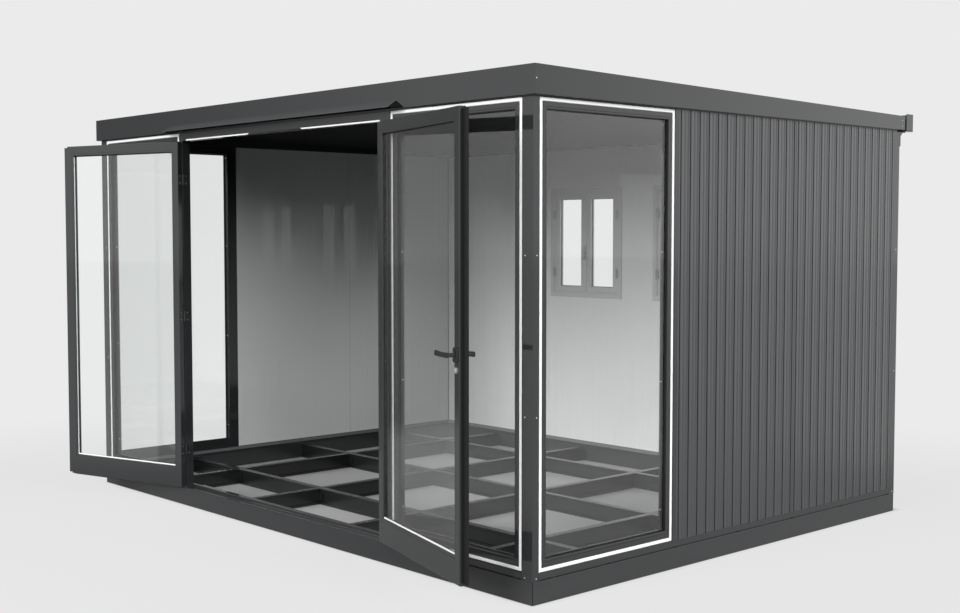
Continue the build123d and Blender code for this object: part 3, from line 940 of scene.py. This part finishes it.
def makeRoof():
    low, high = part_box("roof_deck")
    ends = []
    for y in (low.y, high.y):
        heights = [v.co.z for v in nodes["roof_deck"].data.vertices if abs(v.co.y - y) < 0.001]
        ends.append((y, max(heights), min(heights)))
    r, left, right = roof, low.x, high.x
    start, end, drop = left + r["margin"], right - r["margin"], r["ribHeight"]
    upper = [(left, -drop)]
    upper += ridges(left, right, int((right - left) / r["pitch"]), r["ribFoot"], r["ribTop"], -drop, 0)
    upper.append((right, -drop))
    under = [(left, 0)]
    under += ridges(start, end, int((end - start) / r["groove"]), r["grooveFoot"], r["grooveTop"],
                    0, r["grooveHeight"])
    under.append((right, 0))
    corners = [(x, y, above + drop) for y, above, below in ends for x, drop in upper]
    corners += [(x, y, below + lift) for y, above, below in ends for x, lift in under]
    wide, deep = len(upper), len(under)
    nearUnder, farUnder = 2 * wide, 2 * wide + deep
    faces = [(i, i + 1, wide + i + 1, wide + i) for i in range(wide - 1)]
    kinds = [0] * len(faces)
    faces += [(nearUnder + i, farUnder + i, farUnder + i + 1, nearUnder + i + 1) for i in range(deep - 1)]
    kinds += [1] * (deep - 1)
    faces.append(list(range(wide)) + list(range(nearUnder + deep - 1, nearUnder - 1, -1)))
    faces.append(list(range(wide, 2 * wide)) + list(range(farUnder + deep - 1, farUnder - 1, -1)))
    faces.append((0, wide, farUnder, nearUnder))
    faces.append((wide - 1, 2 * wide - 1, farUnder + deep - 1, nearUnder + deep - 1))
    kinds += [0] * 4
    deck = Shape()
    deck.add(corners, faces, kinds)
    deck.make("roof_sheets", "pod", "roof_deck", ["roof", "ceiling_and_painted_shade"], stands=["roof_deck"])


rearWindow = {
    "frameFace": 0.040, "stile": 0.046, "rail": 0.037, "clearance": 0.0005, "frameStep": 0.003,
    "hingeHeights": (1.334, 1.743), "hingeWidth": 0.014, "hingeHalf": 0.026,
    "knuckleLength": 0.070, "knuckleRadius": 0.0055, "knuckleEdge": 0.002,
    "astragalHalf": 0.014,
    "handleHeight": 1.492, "plateHalf": (0.013, 0.032),            # its plate's half width and half height
    "grip": [(-0.009, 0.010), (0.009, 0.010), (0.008, -0.060), (0.004, -0.066),
             (-0.004, -0.066), (-0.008, -0.060)],                  # round the handle's pin
}


def makeRearWindows():
    w = rearWindow
    near, far = [corner.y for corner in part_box("rear_window_frames")]
    sashNear, sashFar = [corner.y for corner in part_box("rear_window_sashes")]
    paneNear, paneFar = [corner.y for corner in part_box("rear_window_glass")]
    face, gap, step, wide = w["frameFace"] - 0.0003, w["clearance"], w["frameStep"], w["hingeWidth"]
    frameProfile = [
        (0, 0, near + 0.002), (0, 0.002, near), (1, -0.008, near), (1, -0.006, near + step),
        (1, -0.001, near + step), (1, 0, near + 0.004), (1, 0, far - 0.004), (1, -0.002, far),
        (0, 0.002, far), (0, 0, far - 0.002)]
    sashProfile = [
        (0, 0, sashNear + step / 2), (0, step / 2, sashNear), (1, -0.012, sashNear),
        (1, -0.011, sashNear + step / 2), (1, -0.002, sashNear + step / 2), (1, 0, sashNear + 0.0035),
        (1, 0, sashFar - 0.0035), (1, -0.002, sashFar - step / 2), (1, -0.012, sashFar),
        (0, step / 2, sashFar), (0, 0, sashFar - step / 2)]
    frames, sashes, seals, fittings, covers, panes = [Shape() for part in range(6)]
    for left, bottom, right, top in windowBoxes():
        inner = (left + face, bottom + face, right - face, top - face)
        frames.ring((left, bottom, right, top), inner, frameProfile)
        middle = (left + right) / 2
        for x0, x1 in ((inner[0] + gap, middle - gap / 2), (middle + gap / 2, inner[2] - gap)):
            rect = (x0, inner[1] + gap, x1, inner[3] - gap)
            hole = (x0 + w["stile"], rect[1] + w["rail"], x1 - w["stile"], rect[3] - w["rail"])
            sashes.ring(rect, hole, sashProfile)
            panes.box((hole[0] - 0.003, paneNear, hole[1] - 0.003),
                      (hole[2] + 0.003, paneFar, hole[3] + 0.003))
            for edge, away in ((paneNear - 0.0002, -1), (paneFar + 0.0002, 1)):
                seals.ring(rect, hole, [
                    (1, -0.0005, edge), (1, 0.0035, edge),
                    (1, 0.0035, edge + away * 0.0028), (1, -0.0005, edge + away * 0.0048)])
        for x, hand in ((inner[0], -1), (inner[2], 1)):
            for height in w["hingeHeights"]:
                long, thick, soft = w["knuckleLength"], w["knuckleRadius"], w["knuckleEdge"]
                knuckle = [(thick - soft, -soft), (thick, 0), (thick, long), (thick - soft, long + soft)]
                fittings.lathe((x, near - 0.004, height - long / 2), (0, 0, 1), knuckle, 12)
                low, high = height - w["hingeHalf"], height + w["hingeHalf"]
                fittings.box((x, near - 0.0028, low), (x + hand * wide, near + 0.0008, high))
                fittings.box((x, near - 0.0028, low), (x - hand * wide, sashNear + 0.0004, high))
        # astragal over the meeting stiles and the window's handle on it
        covers.box((middle - w["astragalHalf"], sashNear - 0.004, inner[1] + 0.004),
                   (middle + w["astragalHalf"], sashNear + 0.0003, inner[3] - 0.004))
        spot, (halfWide, halfTall) = w["handleHeight"], w["plateHalf"]
        fittings.box((middle - halfWide, sashNear - 0.011, spot - halfTall),
                     (middle + halfWide, sashNear - 0.0038, spot + halfTall))
        fittings.lathe((middle, sashNear - 0.010, spot), (0, -1, 0),
                       [(0.010, 0), (0.0095, 0.006), (0.009, 0.012), (0.006, 0.014)], 16)
        fittings.prism([(middle + x, spot + z) for x, z in w["grip"]],
                       sashNear - 0.034, sashNear - 0.022, "y")
    panes.make("rear_window_panes", "pod", "glass", ["glass"], stands=["rear_window_glass"])
    frames.make("rear_window_frame_profiles", "pod", "frame", ["sash"], stands=["rear_window_frames"])
    sashes.make("rear_window_sash_profiles", "pod", "frame", ["sash"], stands=["rear_window_sashes"])
    seals.make("rear_window_seals", "pod", "frame", ["rubber"])
    covers.make("rear_window_astragals", "pod", "frame", ["sash"], 0.0015)
    fittings.make("rear_window_fittings", "pod", "handle", ["fitting"], 0.001)


doorLeaf = {
    "outer": (0.005, 0.115, 0.925, 2.145),          # across from the hinge line, and up
    "inner": (0.057, 0.239, 0.873, 2.085),
    "outerFace": 0.003, "innerFace": 0.037, "openAngle": 163.5,
    "paneOuter": 0.017, "paneInner": 0.023, "bead": 0.014, "beadDepth": 0.0014,
    "lipLow": 0.123, "lipHigh": 2.137, "coverLip": 0.028, "stopLip": 0.025, "lipThickness": 0.014,
    "lipInset": 0.0004, "lipLap": 0.002, "lipEdge": 0.0008, "sealInset": 0.0002, "sealRise": 0.0018,
    # the pale lining's sizes: a painted highlight, set on two sides of the glass only
    "lining": 0.0022, "highlightSill": 0.0065, "highlightSetback": 0.006,
    "brush": (0.016, 0.024),                        # the brush seal under the leaf, near and far side
}


def leafPlace(hand):
    # a leaf's own frame: X from its hinge line, Y inwards, Z up, at its open place
    x, y, z = joints[f"{sides[hand]}_door_swing"]["pos_m"]
    place = turned((x, y, 0), hand * doorLeaf["openAngle"])
    return place @ Matrix.Diagonal((-1, 1, 1, 1)) if hand > 0 else place


def makeLeaf(hand):
    d = doorLeaf
    side, place = sides[hand], leafPlace(hand)
    out, into, bead, sunk = d["outerFace"], d["innerFace"], d["bead"], d["beadDepth"]
    leaf, seals, lining = Shape(place), Shape(place), Shape(place)
    leaf.ring(d["outer"], d["inner"], [
        (0, 0, out + 0.0015), (0, 0.0015, out), (1, -bead - 0.001, out), (1, -bead, out + sunk),
        (1, -0.003, out + sunk), (1, 0, out + 0.0045), (1, 0, into - 0.0045), (1, -0.003, into - sunk),
        (1, -bead, into - sunk), (1, -bead - 0.001, into), (0, 0.0015, into), (0, 0, into - 0.0015)])

    # the meeting lip, outside on the right leaf and inside on the left one, and the seal on its back
    face, away, reach = (out, 1, d["coverLip"]) if hand > 0 else (into, -1, d["stopLip"])
    edge, lap, soft, sunk = d["outer"][2], d["lipLap"], d["lipEdge"], away * d["sealInset"]
    tip, front, back = edge + reach, face + away * d["lipInset"], face + away * d["lipThickness"]
    lip = [(edge - lap, front), (tip - lap, front), (tip, face + away * lap), (tip, back - away * soft),
           (tip - soft, back), (edge - lap, back)]
    seal = [(edge + 0.0004, back - sunk), (tip - 0.0012, back - sunk),
            (tip - 0.0016, back + away * d["sealRise"]), (edge + 0.004, back + away * 0.0022)]
    leaf.prism(lip, d["lipLow"], d["lipHigh"], "z", 1 if hand > 0 else 0)
    seals.prism(seal, d["lipLow"] + 0.001, d["lipHigh"] - 0.001, "z")
    for near, far in ((d["paneOuter"] - 0.0002, d["paneOuter"] - 0.0042),
                      (d["paneInner"] + 0.0002, d["paneInner"] + 0.0030)):
        seals.ring(d["outer"], d["inner"], [(1, -0.0006, near), (1, 0.0042, near),
                                            (1, 0.0036, near * 0.3 + far * 0.7), (1, -0.0006, far)])
    left, bottom, right, top = d["outer"]
    brushNear, brushFar = d["brush"]
    seals.box((left + 0.010, brushNear, bottom - 0.005), (right - 0.010, brushFar, bottom + 0.0005))
    # painted highlight: a pale lining in the faintly glowing strip finish, only along the bottom and one
    # upright of the glass opening, the sides that catch the light; the top and the other upright have none
    x0, z0, x1, z1 = d["inner"]
    start, end = d["paneInner"] + 0.0032, into - d["highlightSetback"]
    sill = z0 + d["highlightSill"]
    lining.box((x1 - d["lining"], start, sill), (x1 + 0.0006, end, z1 - 0.004))
    lining.box((x0 + 0.001, start, z0 - 0.0006), (x1 + 0.0006, end, sill))
    body = f"{side}_door"
    leaf.make(f"{side}_leaf_profile", body, "frame", ["frame", "rubber"], stands=[f"{side}_door_frame"])
    lining.make(f"{side}_leaf_lining_painted_highlight", body, "light_strip", ["strip"])
    seals.make(f"{side}_leaf_seals", body, "frame", ["rubber"])


hinge = {"heights": (0.336, 1.125, 1.926), "spread": 0.020, "out": 0.003, "back": 0.0215,
         "screwRadius": 0.0028}


def makeHingeScrews():
    out, back, radius = hinge["out"], hinge["back"], hinge["screwRadius"]
    heights = [height + drop for height in hinge["heights"] for drop in (-hinge["spread"], hinge["spread"])]
    jamb = Shape()
    for hand, side in sides.items():
        leaf = Shape(leafPlace(hand))
        x, y, z = joints[f"{side}_door_swing"]["pos_m"]
        for height in heights:
            leaf.screw((out, back, height), (-1, 0, 0), radius)
            jamb.screw((x + hand * out, y + back, height), (-hand, 0, 0), radius)
        leaf.make(f"{side}_leaf_hinge_screws", f"{side}_door", "steel", ["screw"])
    jamb.make("jamb_hinge_screws", "pod", "steel", ["screw"])


lever = {
    "across": 0.899, "height": 1.100, "thickness": 0.011, "standoff": 0.0285, "neck": 0.0095, "rim": 0.0024,
    "plateThickness": 0.010, "plate": (0.038, 0.064), "plateRound": 0.006, "plateStep": 0.0014,
    "screwSpread": 0.024, "screwRadius": 0.0030,
    "lockDrop": 0.066, "lock": (0.0082, 0.0130), "lockRise": 0.0055,
    # the arm's sections: how far along, half the height, how far up, and how much thinner
    "arm": [(0.012, 0.0095, 0.0, 0.0), (0.007, 0.0114, 0.0, 0.0), (-0.012, 0.0112, 0.0, 0.0),
            (-0.045, 0.0108, -0.0008, 0.0006), (-0.085, 0.0114, 0.0002, 0.0012),
            (-0.112, 0.0120, 0.0016, 0.0006), (-0.1195, 0.0118, 0.0018, 0.0004),
            (-0.1215, 0.0106, 0.0018, 0.0004)],
}


def roundedRect(x, z, halfWide, halfTall, radius, steps=4):
    # each corner's first direction in degrees, and which way it lies from the middle
    outline = []
    for start, right, up in ((0, 1, 1), (90, -1, 1), (180, -1, -1), (270, 1, -1)):
        cx, cz = x + right * (halfWide - radius), z + up * (halfTall - radius)
        for step in range(steps + 1):
            angle = math.radians(start + 90 * step / steps)
            outline.append((cx + radius * math.cos(angle), cz + radius * math.sin(angle)))
    return outline


def makeLever():
    # on both faces: a round neck, an elbow and a flat arm that widens towards its squared tip
    g, place = lever, leafPlace(1)
    u, height, rim, neck = g["across"], g["height"], g["rim"], g["neck"]
    wide, tall = g["plate"][0] / 2, g["plate"][1] / 2
    half, lockTall = g["lock"]
    middle = height - g["lockDrop"]
    handles, plates, screws, lock = [Shape(place) for part in range(4)]
    for face, away in ((doorLeaf["outerFace"], -1), (doorLeaf["innerFace"], 1)):
        plateFace = face + away * g["plateThickness"]
        near = plateFace + away * g["standoff"]
        long = g["standoff"] + g["thickness"] * 0.55 - 0.0006
        handles.lathe((u, plateFace + away * 0.0006, height), (0, away, 0), [
            (neck + 0.0025, 0), (neck + 0.0025, 0.004), (neck, 0.006), (neck, long - 0.002),
            (neck - 0.002, long)], 24)
        corners = []
        for along, thin, rise, slim in g["arm"]:
            x, far = u + along, near + away * (g["thickness"] - slim)
            low, high = height + rise - thin, height + rise + thin
            corners += [(x, near + away * rim, low), (x, far - away * rim, low), (x, far, low + rim),
                        (x, far, high - rim), (x, far - away * rim, high), (x, near + away * rim, high),
                        (x, near, high - rim), (x, near, low + rim)]
        last = len(g["arm"]) - 1
        faces = [[i * 8 + k, i * 8 + (k + 1) % 8, (i + 1) * 8 + (k + 1) % 8, (i + 1) * 8 + k]
                 for i in range(last) for k in range(8)]
        handles.add(corners, faces + [list(range(8)), list(range(last * 8, last * 8 + 8))])
        for less, start, end in ((0, face, plateFace - away * 0.0015),
                                 (g["plateStep"], plateFace - away * 0.0016, plateFace)):
            outline = roundedRect(u, height, wide - less, tall - less, g["plateRound"])
            plates.prism(outline, start, end, "y")
        for drop in (-g["screwSpread"], g["screwSpread"]):
            screws.screw((u, plateFace, height + drop), (0, away, 0), g["screwRadius"])
        lockFace = face + away * g["lockRise"]
        lock.prism(roundedRect(u, middle, half, lockTall, half * 0.98), face - away * 0.001, lockFace, "y")
        lock.lathe((u, lockFace, middle + 0.0035), (0, away, 0),
                   [(0.0062, -0.001), (0.0062, 0.001), (0.0055, 0.0015), (0.0016, 0.0015),
                    (0.0012, 0.0004)], 20)
    handles.make("lever_handles", "right_door_lever", "handle", ["handle"], 0.0006, stands=["door_lever"])
    plates.make("lever_plates", "right_door", "handle", ["handle"], 0.0005, stands=["handle_plates"])
    screws.make("lever_plate_screws", "right_door", "steel", ["handle"])
    lock.make("lock_face", "right_door", "steel", ["steel"], 0.0005, stands=["lock_cylinder"])


gutterFittings = {"beadRadius": 0.0045, "endThickness": 0.0012, "screwBack": 0.010,
                  "screwRises": (0.015, 0.040), "screwRadius": 0.0036}


def makeGutterFittings():
    g = gutterFittings
    low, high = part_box("gutter")
    radius = g["beadRadius"]
    bead = Shape()
    bead.lathe((low.x + 0.001, high.y - radius, high.z - radius), (1, 0, 0),
               [(radius, 0), (radius, high.x - low.x - 0.002)], 14)
    for hand in (-1, 1):
        bead.box((hand * high.x, low.y + 0.004, low.z + 0.004),
                 (hand * (high.x - g["endThickness"]), high.y - 0.002, low.z + 0.006))
    bead.make("gutter_bead", "pod", "gutter", ["gutter"])
    screws = Shape()
    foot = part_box("gutter_brackets")[0].z
    for x in middles("gutter_brackets", 0):
        for rise in g["screwRises"]:
            screws.screw((x, rearPlane + g["screwBack"], foot + rise), (0, 1, 0), g["screwRadius"])
    screws.make("gutter_bracket_screws", "pod", "steel", ["screw"])


makeTallWindows()
makeLightStrips()
print("tall windows made")
makeBaseRails()
makeJoists()
makeTracks()
makeThreshold()
print("base made")
makeSideFascias()
makeFrameScrews()
makeDripGuard()
makeRoof()
makeRearWindows()
makeGutterFittings()
print("roof, rear windows and gutter made")
for leafHand in sides:
    makeLeaf(leafHand)
makeHingeScrews()
makeLever()
print("doors made")


studio = {
    "back": 0.83,              # the pale ground and background as they are seen
    "sky": 0.012,              # even light from all round
    "floorTone": 0.62,
    "frontSheen": 0.36,        # what shiny faces mirror of the ground close in front
    "floorBounce": 0.04,
    "fade": 0.86,              # how much of the background's colour the ground has beside the pod
    "fadeNear": (-0.06, 0.03), "fadeFar": (0.2, 3.5),              # metres out from the pod's sides
    "mirrorDark": 0.25,        # what shiny faces mirror on the left
    "mirrorBright": 1.15,      # and everywhere else
    "mirrorExtra": 0.45,       # and this much more behind the right side
    "mirrorExtraTurn": 65,
    "darkFade": (0.90, 0.70), "extraFade": (0.90, 0.995),          # of the directions' agreement
    "beyond": 0.75, "beyondStart": 0.3, "beyondEnd": 2.0,          # the ground far off, as it is mirrored
    "sideStart": 1.5, "sideEnd": 2.2,
    "floorReach": 60, "floorDrop": 0.0005, "lampDistance": 12,
}


def alignment(finish, direction, axis):
    # 1 where a direction agrees with the axis, 0 at a right angle to it
    return finish.node("ShaderNodeVectorMath", {"operation": "DOT_PRODUCT"}, {0: direction, 1: axis}, "Value")


def larger(finish, first, second):
    return finish.node("ShaderNodeMath", {"operation": "MAXIMUM"}, {0: first, 1: second})


def mirrorTone(finish, direction):
    # shiny faces mirror a bright studio that is dark at its left end
    turn = math.radians(studio["mirrorExtraTurn"])
    left = alignment(finish, direction, (-1.0, 0.0, 0.0))
    share = finish.ramp(left, *studio["darkFade"], 0.0, 1.0)
    behind = alignment(finish, direction, (math.cos(turn), math.sin(turn), 0.0))
    extra = finish.ramp(behind, *studio["extraFade"], 0.0, 1.0)
    level = studio["mirrorBright"]
    bright = finish.blend(extra, tone(level), tone(level + studio["mirrorExtra"]))
    return finish.blend(share, tone(studio["mirrorDark"]), bright)


def makeFloor():
    # plain under the pod, and outside it fading to the pale background, which keeps a soft shadow
    s = studio
    floor = Finish("studio_floor")
    spread = floor.node("ShaderNodeVectorMath", {"operation": "ABSOLUTE"}, {0: floor.place()})
    past = floor.node("ShaderNodeVectorMath", {"operation": "SUBTRACT"},
                      {0: spread, 1: (sidePlane, -frontPlane, 0)})
    parts = floor.node("ShaderNodeSeparateXYZ", {}, {0: past}, None)
    away = larger(floor, Signal(floor, parts.outputs[0]), Signal(floor, parts.outputs[1]))
    near = floor.ramp(away, *s["fadeNear"], 0.0, s["fade"])
    far = floor.ramp(away, *s["fadeFar"], 0.0, 1 - s["fade"])
    lit = floor.matt(s["floorTone"])
    seen = floor.mixShaders(near + far, lit, floor.glow(tone(s["back"]), 1.0))
    shown = floor.mixShaders(floor.ray("Is Camera Ray"), floor.matt(s["floorBounce"]), seen)
    # far off, shiny faces see the ground as dark or bright as the studio beyond it
    outwards = floor.node("ShaderNodeVectorMath", {"operation": "NORMALIZE"}, {0: floor.place()})
    beyond = floor.glow(mirrorTone(floor, outwards), s["beyond"])
    across = floor.node("ShaderNodeSeparateXYZ", {}, {0: floor.place()}, 0)
    toSide = floor.ramp(across, s["sideStart"], s["sideEnd"], 0.0, 1.0)
    sheen = floor.glow(floor.blend(toSide, tone(s["frontSheen"]), tone(s["back"])), 1.0)
    distant = floor.ramp(away, s["beyondStart"], s["beyondEnd"], 0.0, 1.0)
    around = floor.mixShaders(distant, floor.mixShaders(0.5, lit, sheen), beyond)
    mirrored = floor.mixShaders(floor.ray("Is Glossy Ray"), shown, around)
    mesh = bpy.data.meshes.new("floor")
    reach = s["floorReach"]
    mesh.from_pydata([(-reach, -reach, 0), (reach, -reach, 0), (reach, reach, 0), (-reach, reach, 0)],
                     [], [(0, 1, 2, 3)])
    mesh.materials.append(floor.finish(mirrored))
    plane = bpy.data.objects.new("floor", mesh)
    plane.location.z = -s["floorDrop"]
    bpy.context.scene.collection.objects.link(plane)


def makeSky():
    world = bpy.data.worlds.new("studio")
    bpy.context.scene.world = world
    sky = Finish("studio", world)
    seen = larger(sky, sky.ray("Is Camera Ray"), sky.ray("Is Glossy Ray"))
    seen = larger(sky, seen, sky.ray("Is Transmission Ray"))
    colour = sky.blend(seen, tone(studio["sky"]), tone(studio["back"]))
    direction = sky.node("ShaderNodeTexCoord", output="Generated")
    colour = sky.blend(sky.ray("Is Glossy Ray"), colour, mirrorTone(sky, direction))
    sky.finish(sky.node("ShaderNodeBackground", {}, {"Color": colour, "Strength": 1.0}))


lamps = {
    "key": {"turn": -94, "height": 20, "spread": 36, "level": 3.25},
    "corner": {"turn": -31, "height": 20, "spread": 30, "level": 1.3},
    "side": {"turn": 12, "height": 22, "spread": 34, "level": 2.75},
}


def makeLights():
    # broad soft lights: degrees round from +X, degrees above the floor, and how much light
    for name, values in lamps.items():
        lamp = bpy.data.lights.new(name, "SUN")
        lamp.angle = math.radians(values["spread"])
        lamp.energy = values["level"]
        light = bpy.data.objects.new(name, lamp)
        turn, height = math.radians(values["turn"]), math.radians(values["height"])
        level = math.cos(height)
        away = Vector((math.cos(turn) * level, math.sin(turn) * level, math.sin(height)))
        light.location = away * studio["lampDistance"]
        light.rotation_euler = away.to_track_quat("Z", "Y").to_euler()
        light.visible_glossy = False
        light.visible_camera = False
        bpy.context.scene.collection.objects.link(light)


makeFloor()
makeSky()
makeLights()
print("studio made")
